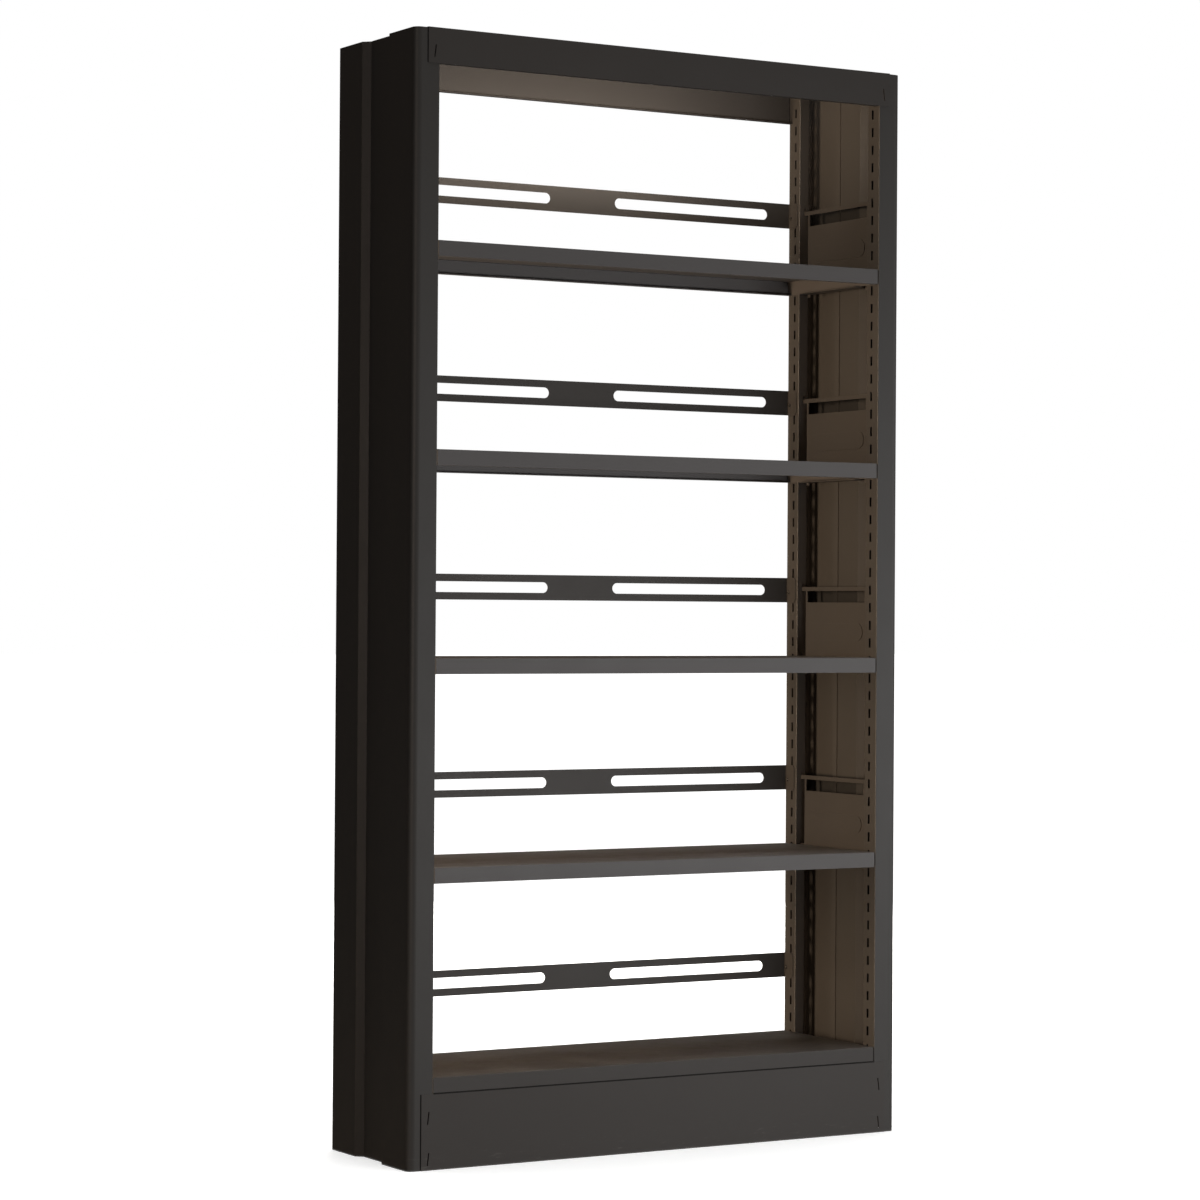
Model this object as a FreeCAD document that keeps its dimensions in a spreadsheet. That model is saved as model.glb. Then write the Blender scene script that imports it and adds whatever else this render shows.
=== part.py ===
import FreeCAD, Part
import math
import os

import Sketcher

# A free-standing steel bookcase: two side frames of folded columns with a flat sheet between
# them, a top cover and two kick plates that hook on the columns, five folded shelves, eight
# side brackets that hang in the columns' slots, and a stop bar at the back of each tier.
# Millimetres. X is the width, the front looks to -Y, Z is up from the floor, and the origin
# lies on the floor in the middle of the footprint.

# Driving sizes
SIZES = {
    # the whole bookcase
    "overall_width": 930.0,
    "overall_depth": 280.0,
    "overall_height": 1800.0,
    # sheets
    "column_sheet": 1.2,
    "cover_sheet": 1.2,
    "kick_sheet": 1.2,
    "panel_sheet": 1.2,
    "shelf_sheet": 1.0,
    "bracket_sheet": 1.5,
    "bar_sheet": 1.2,
    # column section
    "column_face_width": 43.3,
    "column_corner_radius": 12.0,
    "column_side_depth": 91.0,
    "column_return_depth": 33.8,
    "column_lip_width": 18.0,
    "lap_flange_width": 12.0,
    "panel_recess": 10.5,
    "panel_edge_clearance": 0.3,
    # slot rows
    "slot_pitch": 30.0,
    "slot_first_level": 140.0,
    "slot_width": 5.4,
    "slot_height": 15.5,
    "slot_setback": 20.1,
    "hook_slot_side_clearance": 0.6,
    "hook_slot_top_clearance": 1.0,
    # shelves
    "first_shelf_level": 145.0,
    "shelf_flange_height": 25.0,
    "shelf_lip_width": 12.0,
    "shelf_side_clearance": 1.0,
    "shelf_face_setback": 0.8,
    # top cover and kick plates
    "lap_on_column": 20.5,
    "cover_flange_height": 56.5,
    "cover_lip_width": 10.0,
    "kick_flange_width": 25.0,
    "kick_lip_width": 10.0,
    "slit_height": 20.0,
    "slit_width": 2.0,
    "slit_lean": 2.5,
    "slit_end_distance": 12.2,
    "cover_slit_drop": 37.5,
    "kick_low_slit_level": 17.5,
    "kick_high_slit_level": 82.0,
    "tongue_reach": 5.0,
    "tongue_clearance": 0.6,
    # side brackets
    "bracket_setback": 10.0,
    "bracket_lip_gap": 12.0,
    "bracket_plate_rise": 121.0,
    "bracket_ear_drop": 5.5,
    "bracket_strip_height": 7.0,
    "bracket_slot_end_margin": 5.0,
    "bracket_slot_height": 20.0,
    "emboss_end_margin": 10.5,
    "emboss_width": 30.0,
    "emboss_level": 43.0,
    "emboss_rise": 1.0,
    "ledge_end_margin": 8.0,
    "ledge_width": 23.7,
    "ledge_corner_clip": 4.0,
    "hook_height": 7.0,
    "hook_drop": 5.0,
    "hook_tongue_width": 2.6,
    "hook_clearance": 0.3,
    # stop bars
    "bar_height": 43.0,
    "bar_rise": 94.0,
    "bar_slot_height": 18.0,
    "bar_slot_middle_distance": 63.5,
    "bar_slot_end_margin": 46.7,
    "bar_flange_depth": 28.0,
    "bar_flange_clip": 4.0,
    "lug_width": 4.2,
    "lug_height": 9.0,
    "lug_drop": 5.0,
    "lug_tongue_width": 2.0,
    "lug_clearance": 0.3,
    # how far a cut runs past the sheet that it cuts
    "overrun": 1.0,
}

# Counts: hung shelves, and slot steps between a bracket's two hooks
HUNG_SHELVES = 4
STEPS_PER_HOOK = 4

# Share of the sheet by which a half right-angle bend moves the corner of its inner face
mitre_share = math.tan(math.radians(22.5))
# Share of its width by which each corner of the emboss's hollow is clipped
hollow_clip_share = 0.293


class Size:
    """A length that knows its value in millimetres and its formula in the names of the sheet."""

    def __init__(self, value, text):
        self.value = value
        self.text = text

    def __add__(self, other):
        other = as_size(other)
        return Size(self.value + other.value, "(%s + %s)" % (self.text, other.text))

    def __sub__(self, other):
        other = as_size(other)
        return Size(self.value - other.value, "(%s - %s)" % (self.text, other.text))

    def __mul__(self, factor):
        return Size(self.value * factor, "(%s * %.10g)" % (self.text, factor))

    def __truediv__(self, divisor):
        return Size(self.value / divisor, "(%s / %.10g)" % (self.text, divisor))

    def __neg__(self):
        return self * -1


def as_size(number):
    """Take a Size as it is and wrap a zero."""
    if isinstance(number, Size):
        return number
    return Size(float(number), "%.10g" % number)


doc = FreeCAD.newDocument("bookcase")
sheet = doc.addObject("Spreadsheet::Sheet", "Sizes")
row = 0
for alias, number in SIZES.items():
    row = row + 1
    sheet.set("A%d" % row, alias)
    sheet.set("B%d" % row, str(number))
    sheet.setAlias("B%d" % row, alias)
doc.recompute()


def size(alias):
    """A driving size by its name in the sheet."""
    return Size(float(SIZES[alias]), "Sizes." + alias)


# Building blocks

def new_body(label):
    """An empty body that becomes the node of this name."""
    body = doc.addObject("PartDesign::Body", label)
    body.Label = label
    body.AllowCompound = True
    return body


def origin_part(body, role):
    """A plane or axis of the body's own origin."""
    for feature in body.Origin.OriginFeatures:
        if feature.Role == role:
            return feature
    raise ValueError("no such origin feature: " + role)


def new_sketch(body, name, role, offset=None):
    """A sketch on an origin plane of the body, moved along the plane's normal."""
    sketch = body.newObject("Sketcher::SketchObject", name)
    sketch.AttachmentSupport = [(origin_part(body, role), "")]
    sketch.MapMode = "FlatFace"
    if offset is not None:
        base = FreeCAD.Vector(0, 0, offset.value)
        sketch.AttachmentOffset = FreeCAD.Placement(base, FreeCAD.Rotation())
        sketch.setExpression("AttachmentOffset.Base.z", offset.text)
    return sketch


def across_x(body, name, x=None):
    """A sketch square to X at this X: its axes are Y and Z."""
    return new_sketch(body, name, "YZ_Plane", x)


def across_y(body, name, y):
    """A sketch square to Y at this Y: its axes are X and Z."""
    return new_sketch(body, name, "XZ_Plane", -y)


def across_z(body, name, z=None):
    """A sketch square to Z at this Z: its axes are X and Y."""
    return new_sketch(body, name, "XY_Plane", z)


def bind(sketch, kind, where, length):
    """Add a driving constraint and tie it to the formula of its size."""
    index = sketch.addConstraint(Sketcher.Constraint(kind, *where, length.value))
    sketch.setExpression("Constraints[%d]" % index, length.text)


def pin(sketch, geometry, point, x, y):
    """Fix a point of a sketch by its two distances from the sketch's origin."""
    bind(sketch, "DistanceX", (-1, 1, geometry, point), x)
    bind(sketch, "DistanceY", (-1, 1, geometry, point), y)


def outline(sketch, corners):
    """Draw a closed outline through the corners (x, y) or (x, y, radius), rounded where a
    radius is given: the arc starts and ends at radius times tan(half the turn) from it."""
    count = len(corners)
    points = [(as_size(corner[0]), as_size(corner[1])) for corner in corners]
    radii = [corner[2] if len(corner) == 3 else None for corner in corners]
    stops = []
    for i in range(count):
        x, y = points[i]
        if radii[i] is None:
            stops.append([(x, y)])
            continue
        before = direction(points[i - 1], points[i])
        after = direction(points[i], points[(i + 1) % count])
        turn = abs(math.atan2(cross(before, after), dot(before, after)))
        setback = radii[i] * math.tan(turn / 2)
        start = (x - setback * before[0], y - setback * before[1])
        end = (x + setback * after[0], y + setback * after[1])
        stops.append([start, end])
    first = sketch.GeometryCount
    links = []
    for i in range(count):
        if radii[i] is not None:
            links.append(add_arc(sketch, stops[i][0], stops[i][1], radii[i], points[i]))
        links.append(add_line(sketch, stops[i][-1], stops[(i + 1) % count][0]))
    for i in range(len(links)):
        geometry, start, end, x, y = links[i]
        following = links[(i + 1) % len(links)]
        sketch.addConstraint(
            Sketcher.Constraint("Coincident", geometry, end, following[0], following[1]))
        pin(sketch, geometry, start, x, y)
    return first


def direction(start, end):
    """Unit vector from one corner to the next, exact along the axes."""
    dx = end[0].value - start[0].value
    dy = end[1].value - start[1].value
    length = math.hypot(dx, dy)
    return (round(dx / length, 9), round(dy / length, 9))


def cross(one, two):
    return one[0] * two[1] - one[1] * two[0]


def dot(one, two):
    return one[0] * two[0] + one[1] * two[1]


def add_line(sketch, start, end):
    """A straight edge, with its own number, its two ends and the place of its start."""
    one = FreeCAD.Vector(start[0].value, start[1].value, 0)
    two = FreeCAD.Vector(end[0].value, end[1].value, 0)
    index = sketch.addGeometry(Part.LineSegment(one, two), False)
    return (index, 1, 2, start[0], start[1])


def add_arc(sketch, start, end, radius, corner):
    """A corner arc: its centre lies across the chord from the corner."""
    ax, ay = start[0].value, start[1].value
    bx, by = end[0].value, end[1].value
    mx, my = (ax + bx) / 2, (ay + by) / 2
    ux, uy = mx - corner[0].value, my - corner[1].value
    reach = math.hypot(ux, uy)
    half_chord = math.hypot(bx - ax, by - ay) / 2
    rise = math.sqrt(max(radius.value ** 2 - half_chord ** 2, 0))
    cx, cy = mx + ux / reach * rise, my + uy / reach * rise
    one = math.atan2(ay - cy, ax - cx)
    two = math.atan2(by - cy, bx - cx)
    turns_left = cross((ax - cx, ay - cy), (bx - cx, by - cy)) > 0
    circle = Part.Circle(FreeCAD.Vector(cx, cy, 0), FreeCAD.Vector(0, 0, 1), radius.value)
    if turns_left:
        index = sketch.addGeometry(Part.ArcOfCircle(circle, one, two), False)
        ends = (1, 2)
    else:
        index = sketch.addGeometry(Part.ArcOfCircle(circle, two, one), False)
        ends = (2, 1)
    bind(sketch, "Radius", (index,), radius)
    return (index, ends[0], ends[1], start[0], start[1])


def rectangle(sketch, x, y, width, height, radius=None):
    """A rectangle about a centre, with rounded corners where a radius is given."""
    left, right = x - width / 2, x + width / 2
    low, high = y - height / 2, y + height / 2
    corners = [(left, low), (right, low), (right, high), (left, high)]
    if radius is not None:
        corners = [corner + (radius,) for corner in corners]
    outline(sketch, corners)


def oblong(sketch, x, y, length, width):
    """A slot with two round ends, its length along the sketch's first axis."""
    half_run = (length - width) / 2
    half_width = width / 2
    left, right = x - half_run, x + half_run
    low, high = y - half_width, y + half_width
    lines = [add_line(sketch, (left, low), (right, low)),
             add_line(sketch, (right, high), (left, high))]
    arcs = []
    for centre, start in ((right, -math.pi / 2), (left, math.pi / 2)):
        middle = FreeCAD.Vector(centre.value, y.value, 0)
        circle = Part.Circle(middle, FreeCAD.Vector(0, 0, 1), half_width.value)
        arcs.append(sketch.addGeometry(Part.ArcOfCircle(circle, start, start + math.pi), False))
    for line, arc in ((lines[0], arcs[0]), (lines[1], arcs[1])):
        sketch.addConstraint(Sketcher.Constraint("Coincident", line[0], 2, arc, 1))
    for arc, line in ((arcs[0], lines[1]), (arcs[1], lines[0])):
        sketch.addConstraint(Sketcher.Constraint("Coincident", arc, 2, line[0], 1))
    for arc, centre in ((arcs[0], right), (arcs[1], left)):
        pin(sketch, arc, 3, centre, y)
        bind(sketch, "Radius", (arc,), half_width)
        bind(sketch, "DistanceX", (-1, 1, arc, 1), centre)
        bind(sketch, "DistanceX", (-1, 1, arc, 2), centre)


def add_feature(body, kind, name, sketch, length):
    """A pad or pocket that runs half its length to either side of its sketch."""
    feature = body.newObject(kind, name)
    feature.Profile = sketch
    feature.SideType = "Symmetric"
    feature.Length = length.value
    feature.setExpression("Length", length.text)
    sketch.Visibility = False
    return feature


def pad(body, name, sketch, length):
    return add_feature(body, "PartDesign::Pad", name, sketch, length)


def pocket(body, name, sketch, length):
    return add_feature(body, "PartDesign::Pocket", name, sketch, length)


def repeat_up(body, name, feature, pitch, count):
    """Repeat a feature upwards."""
    pattern = body.newObject("PartDesign::LinearPattern", name)
    pattern.Originals = [feature]
    pattern.Direction = (origin_part(body, "Z_Axis"), [""])
    pattern.Mode = "Spacing"
    pattern.Offset = pitch.value
    pattern.setExpression("Offset", pitch.text)
    pattern.Occurrences = count
    body.Tip = pattern
    return pattern


def mirror_features(body, name, features, role):
    """Mirror features on an origin plane of the body."""
    mirrored = body.newObject("PartDesign::Mirrored", name)
    mirrored.Originals = features
    mirrored.MirrorPlane = (origin_part(body, role), [""])
    body.Tip = mirrored
    return mirrored


# Places that several pieces share

half_width = size("overall_width") / 2
half_depth = size("overall_depth") / 2
column_sheet = size("column_sheet")
overrun = size("overrun")
cut_through_column = column_sheet + overrun * 2

# Front plane of the column faces: the cover's and the kick plates' sheets lie before it
face_plane = half_depth - size("cover_sheet")
# Inner side of the columns, which the shelves and the stop bars run between
return_plane = half_width - size("column_face_width")
# Plane of the lip at the end of the return
lip_plane = face_plane - size("column_return_depth")
# Column height: the cover's top lies on it
column_height = size("overall_height") - size("cover_sheet")
# Outer face of the columns' lap flanges, which the side panels lie on
lap_plane = half_width - size("panel_recess") - size("panel_sheet")
step_depth = half_width - lap_plane
step_start = face_plane - size("column_side_depth")
step_end = step_start - step_depth
# Inboard face and middle of the bracket plates
bracket_face = return_plane + size("bracket_setback")
bracket_middle = bracket_face + size("bracket_sheet") / 2
# Half lengths of the shelves, and of the cover and kick plates
shelf_half_length = return_plane - size("shelf_side_clearance")
lap_half_length = return_plane + size("lap_on_column")
slit_centre = lap_half_length - size("slit_end_distance")
# Underside of the upper hooks, measured from the shelf's top
hook_rise = size("bracket_plate_rise") - size("hook_height")
hook_spacing = size("slot_pitch") * STEPS_PER_HOOK
hook_slot_height = size("hook_height") + size("hook_drop") + size("hook_slot_top_clearance")
slot_room = column_height - size("slot_first_level") - size("slot_height")
slot_count = int(slot_room.value // size("slot_pitch").value) + 1
kick_height = size("first_shelf_level") - size("shelf_flange_height")
cover_slit_level = size("overall_height") - size("cover_slit_drop")



# The tiers share the height above the bottom shelf in whole slot steps
tiers = HUNG_SHELVES + 1
tier_room = (size("overall_height") - size("first_shelf_level")) / tiers
steps_per_shelf = int(tier_room.value // size("slot_pitch").value)


def shelf_level(tier):
    """Top of the shelf of a tier, with the bottom shelf as tier 0."""
    return size("first_shelf_level") + size("slot_pitch") * (steps_per_shelf * tier)


# Columns

def tongue_slots(sketch, side, levels):
    """Slots in a column's face for the tongues of the cover or a kick plate."""
    clear = size("tongue_clearance")
    wide = size("slit_width") + size("slit_lean") + (size("cover_sheet") + clear) * 2
    high = size("slit_height") + clear * 2
    for level in levels:
        rectangle(sketch, slit_centre * side, level, wide, high)


def make_column(label, side, end):
    """One column: side is -1 left or 1 right, end is -1 front or 1 rear."""
    body = new_body(label)
    corner = size("column_corner_radius")
    mitre = column_sheet * mitre_share
    lip_tip = return_plane + size("column_lip_width")
    lap_end = step_end - size("lap_flange_width")
    section = [
        (lip_tip, lip_plane),
        (return_plane, lip_plane, column_sheet),
        (return_plane, face_plane, column_sheet),
        (half_width, face_plane, corner),
        (half_width, step_start),
        (lap_plane, step_end),
        (lap_plane, lap_end),
        (lap_plane - column_sheet, lap_end),
        (lap_plane - column_sheet, step_end + mitre),
        (half_width - column_sheet, step_start + mitre),
        (half_width - column_sheet, face_plane - column_sheet, corner - column_sheet),
        (return_plane + column_sheet, face_plane - column_sheet),
        (return_plane + column_sheet, lip_plane + column_sheet),
        (lip_tip, lip_plane + column_sheet),
    ]
    section = [(place[0] * side, place[1] * end) + place[2:] for place in section]
    sketch = across_z(body, "section", column_height / 2)
    outline(sketch, section)
    pad(body, "folded_sheet", sketch, column_height)

    sketch = across_x(body, "return_slot", (return_plane + column_sheet / 2) * side)
    rectangle(sketch, (face_plane - size("slot_setback")) * end, size("slot_first_level"),
              size("slot_width"), size("slot_height"))
    slot = pocket(body, "return_slot_cut", sketch, cut_through_column)
    repeat_up(body, "return_slot_row", slot, size("slot_pitch"), slot_count)

    sketch = across_y(body, "hook_slots", (lip_plane + column_sheet / 2) * end)
    low_seat = shelf_level(1) + hook_rise - hook_spacing
    for seat in (low_seat, low_seat + hook_spacing):
        rectangle(sketch, bracket_middle * side, seat + hook_slot_height / 2,
                  size("bracket_sheet") + size("hook_slot_side_clearance") * 2,
                  hook_slot_height)
    slots = pocket(body, "hook_slot_cuts", sketch, cut_through_column)
    repeat_up(body, "hook_slot_row", slots, shelf_level(1) - shelf_level(0), HUNG_SHELVES)

    sketch = across_y(body, "tongue_slot", (face_plane - column_sheet / 2) * end)
    tongue_slots(sketch, side, [size("kick_low_slit_level"), size("kick_high_slit_level"),
                                cover_slit_level])
    body.Tip = pocket(body, "tongue_slot_cut", sketch, cut_through_column)
    return body


# Side panels

def make_side_panel(label, side):
    """The flat sheet in a side frame, flat on the lap flanges of its two columns."""
    body = new_body(label)
    sheet_middle = (lap_plane + size("panel_sheet") / 2) * side
    width = (step_end - size("panel_edge_clearance")) * 2
    sketch = across_x(body, "panel", sheet_middle)
    rectangle(sketch, as_size(0), column_height / 2, width, column_height)
    pad(body, "flat_sheet", sketch, size("panel_sheet"))
    return body


# Top cover and kick plates

def leaning_slit(sketch, side, level, inboard, outboard):
    """A slit whose top leans inwards, between two distances from its centre line."""
    half_lean = size("slit_lean") / 2
    half_height = size("slit_height") / 2
    outline(sketch, [
        ((slit_centre + half_lean - inboard) * side, level - half_height),
        ((slit_centre + half_lean + outboard) * side, level - half_height),
        ((slit_centre - half_lean + outboard) * side, level + half_height),
        ((slit_centre - half_lean - inboard) * side, level + half_height),
    ])


def hook_on(body, sheet_size, levels, ends):
    """Cut the slits near both ends of a plate and raise a tongue behind each of them, which
    reaches through the slot in the column's face."""
    half_slit = size("slit_width") / 2
    cut = sheet_size + overrun * 2
    reach = column_sheet + size("tongue_reach")
    for end, word in ends:
        sketch = across_y(body, word + "_slits", (half_depth - sheet_size / 2) * end)
        for side in (-1, 1):
            for level in levels:
                leaning_slit(sketch, side, level, half_slit, half_slit)
        pocket(body, word + "_slit_cuts", sketch, cut)
        sketch = across_y(body, word + "_tongues", (face_plane - reach / 2) * end)
        for side in (-1, 1):
            for level in levels:
                leaning_slit(sketch, side, level, half_slit + sheet_size, -half_slit)
        pad(body, word + "_tongue_pads", sketch, reach)


def make_top_cover():
    """An inverted tray whose flanges lap over the faces of the columns."""
    body = new_body("top_cover")
    sheet_size = size("cover_sheet")
    top = size("overall_height")
    bottom = top - size("cover_flange_height")
    sketch = across_x(body, "section")
    outline(sketch, [
        (-half_depth, bottom), (-half_depth, top, sheet_size),
        (half_depth, top, sheet_size), (half_depth, bottom),
        (face_plane, bottom), (face_plane, column_height),
        (-face_plane, column_height), (-face_plane, bottom),
    ])
    pad(body, "folded_sheet", sketch, lap_half_length * 2)
    sketch = across_x(body, "lips")
    for end in (-1, 1):
        rectangle(sketch, (face_plane - size("cover_lip_width") / 2) * end,
                  bottom + sheet_size / 2, size("cover_lip_width"), sheet_size)
    pad(body, "bottom_lips", sketch, shelf_half_length * 2)
    hook_on(body, sheet_size, [cover_slit_level], [(-1, "front"), (1, "rear")])
    return body


def make_kick_plate(label, end):
    """A plinth plate: its upper flange carries the bottom shelf, its lower lip is on the
    floor."""
    body = new_body(label)
    sheet_size = size("kick_sheet")
    sketch = across_y(body, "web", (half_depth - sheet_size / 2) * end)
    rectangle(sketch, as_size(0), kick_height / 2, lap_half_length * 2, kick_height)
    pad(body, "web_sheet", sketch, sheet_size)
    inner_face = half_depth - sheet_size
    sketch = across_x(body, "flanges")
    rectangle(sketch, (inner_face - size("kick_flange_width") / 2) * end,
              kick_height - sheet_size / 2, size("kick_flange_width"), sheet_size)
    rectangle(sketch, (inner_face - size("kick_lip_width") / 2) * end,
              sheet_size / 2, size("kick_lip_width"), sheet_size)
    pad(body, "folded_flanges", sketch, shelf_half_length * 2)
    hook_on(body, sheet_size, [size("kick_low_slit_level"), size("kick_high_slit_level")],
            [(end, "end")])
    return body


# Shelves

def make_shelf(label, tier):
    """A folded tray: deck, four flanges, and a lip under the front and the rear flange."""
    body = new_body(label)
    sheet_size = size("shelf_sheet")
    deck = shelf_level(tier)
    foot = deck - size("shelf_flange_height")
    edge = face_plane - size("shelf_face_setback")
    lip = edge - size("shelf_lip_width")
    section = [
        (lip, foot), (edge, foot), (edge, deck, sheet_size),
        (-edge, deck, sheet_size), (-edge, foot), (-lip, foot),
        (-lip, foot + sheet_size), (sheet_size - edge, foot + sheet_size),
        (sheet_size - edge, deck - sheet_size), (edge - sheet_size, deck - sheet_size),
        (edge - sheet_size, foot + sheet_size), (lip, foot + sheet_size),
    ]
    sketch = across_x(body, "section")
    outline(sketch, section)
    pad(body, "folded_sheet", sketch, shelf_half_length * 2)
    sketch = across_x(body, "side_flange", shelf_half_length - sheet_size / 2)
    high = size("shelf_flange_height") - sheet_size
    rectangle(sketch, as_size(0), foot + high / 2, (edge - sheet_size) * 2, high)
    flange = pad(body, "side_flange_sheet", sketch, sheet_size)
    mirror_features(body, "both_side_flanges", [flange], "YZ_Plane")
    return body


# Side brackets

def make_bracket(label, side, tier):
    """A pressed side plate: two hooks at either edge drop behind the columns' lips, and a
    ledge turned inwards carries the shelf."""
    body = new_body(label)
    sheet_size = size("bracket_sheet")
    deck = shelf_level(tier)
    ledge_top = deck - size("shelf_flange_height")
    ledge_foot = ledge_top - sheet_size
    top = deck + size("bracket_plate_rise")
    ear_foot = ledge_top - size("bracket_ear_drop")
    half_plate = lip_plane - size("bracket_lip_gap")
    half_ledge = half_plate - size("ledge_end_margin")
    behind_lip = lip_plane + column_sheet + size("hook_clearance")
    hook_tip = behind_lip + size("hook_tongue_width")
    high_hook = deck + hook_rise
    low_hook = high_hook - hook_spacing
    half = [
        (half_ledge, ledge_foot), (half_ledge, ear_foot), (half_plate, ear_foot),
        (half_plate, low_hook), (behind_lip, low_hook),
        (behind_lip, low_hook - size("hook_drop")), (hook_tip, low_hook - size("hook_drop")),
        (hook_tip, low_hook + size("hook_height")), (half_plate, low_hook + size("hook_height")),
        (half_plate, high_hook), (behind_lip, high_hook),
        (behind_lip, high_hook - size("hook_drop")), (hook_tip, high_hook - size("hook_drop")),
        (hook_tip, top),
    ]
    other_half = [(-place[0], place[1]) for place in reversed(half)]
    sketch = across_x(body, "plate", bracket_middle * side)
    outline(sketch, half + other_half)
    slot_top = top - size("bracket_strip_height")
    rectangle(sketch, as_size(0), slot_top - size("bracket_slot_height") / 2,
              (half_plate - size("bracket_slot_end_margin")) * 2,
              size("bracket_slot_height"))
    pad(body, "plate_sheet", sketch, sheet_size)

    ledge_tip = bracket_face - size("ledge_width")
    ledge_root = bracket_face + sheet_size
    clip = size("ledge_corner_clip")
    sketch = across_z(body, "ledge", ledge_top - sheet_size / 2)
    outline(sketch, [
        (ledge_root * side, -half_ledge), (ledge_root * side, half_ledge),
        ((ledge_tip + clip) * side, half_ledge), (ledge_tip * side, half_ledge - clip),
        (ledge_tip * side, clip - half_ledge), ((ledge_tip + clip) * side, -half_ledge),
    ])
    pad(body, "ledge_sheet", sketch, sheet_size)

    rise = size("emboss_rise")
    emboss_level = deck + size("emboss_level")
    sketch = across_x(body, "emboss", (bracket_face - rise / 2) * side)
    half_emboss = half_plate - size("emboss_end_margin")
    oblong(sketch, as_size(0), emboss_level, half_emboss * 2, size("emboss_width"))
    pad(body, "emboss_pad", sketch, rise)
    back = (bracket_face + sheet_size - (rise - overrun) / 2) * side
    sketch = across_x(body, "emboss_back", back)
    half_long = half_emboss - sheet_size
    half_wide = size("emboss_width") / 2 - sheet_size
    clip = half_wide * 2 * hollow_clip_share
    corners = [(half_long - clip, half_wide), (half_long, half_wide - clip),
               (half_long, clip - half_wide), (half_long - clip, -half_wide)]
    corners = corners + [(-place[0], -place[1]) for place in corners]
    outline(sketch, [(place[0], emboss_level + place[1]) for place in corners])
    body.Tip = pocket(body, "emboss_hollow", sketch, rise + overrun)
    return body


# Stop bars

def make_stop_bar(label, tier):
    """A back stop: a web with two long slots and two end flanges, whose lugs hang in the
    return slots of the rear columns."""
    body = new_body(label)
    sheet_size = size("bar_sheet")
    deck = shelf_level(tier)
    middle = deck + size("bar_rise") + size("bar_height") / 2
    sketch = across_y(body, "web", face_plane - sheet_size / 2)
    rectangle(sketch, as_size(0), middle, return_plane * 2, size("bar_height"))
    near, far = size("bar_slot_middle_distance"), return_plane - size("bar_slot_end_margin")
    for side in (-1, 1):
        oblong(sketch, (near + far) / 2 * side, middle, far - near, size("bar_slot_height"))
    pad(body, "web_sheet", sketch, sheet_size)

    tip = face_plane - size("bar_flange_depth")
    low = deck + size("bar_rise")
    high = low + size("bar_height")
    clip = size("bar_flange_clip")
    sketch = across_x(body, "end_flange", return_plane - sheet_size / 2)
    outline(sketch, [(face_plane, low), (face_plane, high), (tip + clip, high),
                     (tip, high - clip), (tip, low + clip), (tip + clip, low)])
    flange = pad(body, "end_flange_sheet", sketch, sheet_size)

    room = middle - size("slot_first_level")
    steps = round(room.value / size("slot_pitch").value)
    seat = size("slot_first_level") + size("slot_pitch") * steps - size("slot_height") / 2
    behind_return = return_plane + column_sheet + size("lug_clearance")
    lug_tip = behind_return + size("lug_tongue_width")
    sketch = across_y(body, "lug", face_plane - size("slot_setback"))
    outline(sketch, [
        (return_plane - sheet_size, seat), (behind_return, seat),
        (behind_return, seat - size("lug_drop")), (lug_tip, seat - size("lug_drop")),
        (lug_tip, seat + size("lug_height")), (return_plane - sheet_size, seat + size("lug_height")),
    ])
    lug = pad(body, "lug_pad", sketch, size("lug_width"))
    mirror_features(body, "both_ends", [flange, lug], "YZ_Plane")
    return body


parts = []
for side, side_word in ((-1, "left"), (1, "right")):
    parts.append(make_column(side_word + "_front_column", side, -1))
    parts.append(make_column(side_word + "_rear_column", side, 1))
    parts.append(make_side_panel(side_word + "_side_panel", side))
    for tier in range(1, tiers):
        parts.append(make_bracket("%s_bracket_%d" % (side_word, tier), side, tier))
parts.append(make_top_cover())
parts.append(make_kick_plate("front_kick_plate", -1))
parts.append(make_kick_plate("rear_kick_plate", 1))
parts.append(make_shelf("bottom_shelf", 0))
for tier in range(1, tiers):
    parts.append(make_shelf("shelf_%d" % tier, tier))
for tier in range(tiers):
    parts.append(make_stop_bar("stop_bar_%d" % (tier + 1), tier))

doc.recompute()

for item in doc.Objects:
    if "Invalid" in item.State or "Error" in item.State:
        raise RuntimeError("%s did not build: %s" % (item.Label, item.State))
for piece in parts:
    if piece.Shape.isNull() or not piece.Shape.isValid():
        raise RuntimeError(piece.Label + " has no valid shape")

os.makedirs("parts", exist_ok=True)
for piece in parts:
    piece.Shape.exportStep("parts/%s.step" % piece.Label)
    print("%-20s %2d solid(s) %12.1f mm3" % (piece.Label, len(piece.Shape.Solids),
                                             piece.Shape.Volume))
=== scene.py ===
import math

import bpy
import numpy as np
from bpy.props import FloatProperty, FloatVectorProperty, PointerProperty
from mathutils import Matrix, Vector


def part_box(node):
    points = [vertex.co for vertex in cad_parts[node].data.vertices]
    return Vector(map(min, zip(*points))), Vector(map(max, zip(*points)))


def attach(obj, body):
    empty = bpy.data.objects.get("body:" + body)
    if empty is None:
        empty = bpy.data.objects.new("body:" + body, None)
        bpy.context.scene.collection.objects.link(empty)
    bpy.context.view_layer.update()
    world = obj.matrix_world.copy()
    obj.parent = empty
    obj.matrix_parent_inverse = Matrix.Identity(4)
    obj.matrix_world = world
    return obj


bl_info = {
    "name": "Steel Bookcase",
    "version": (1, 0, 0),
    "blender": (4, 5, 0),
    "location": "3D View > Sidebar > Bookcase",
    "description": "Powder coat, screws and studio for a slotted steel bookcase",
    "category": "Object",
}

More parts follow.
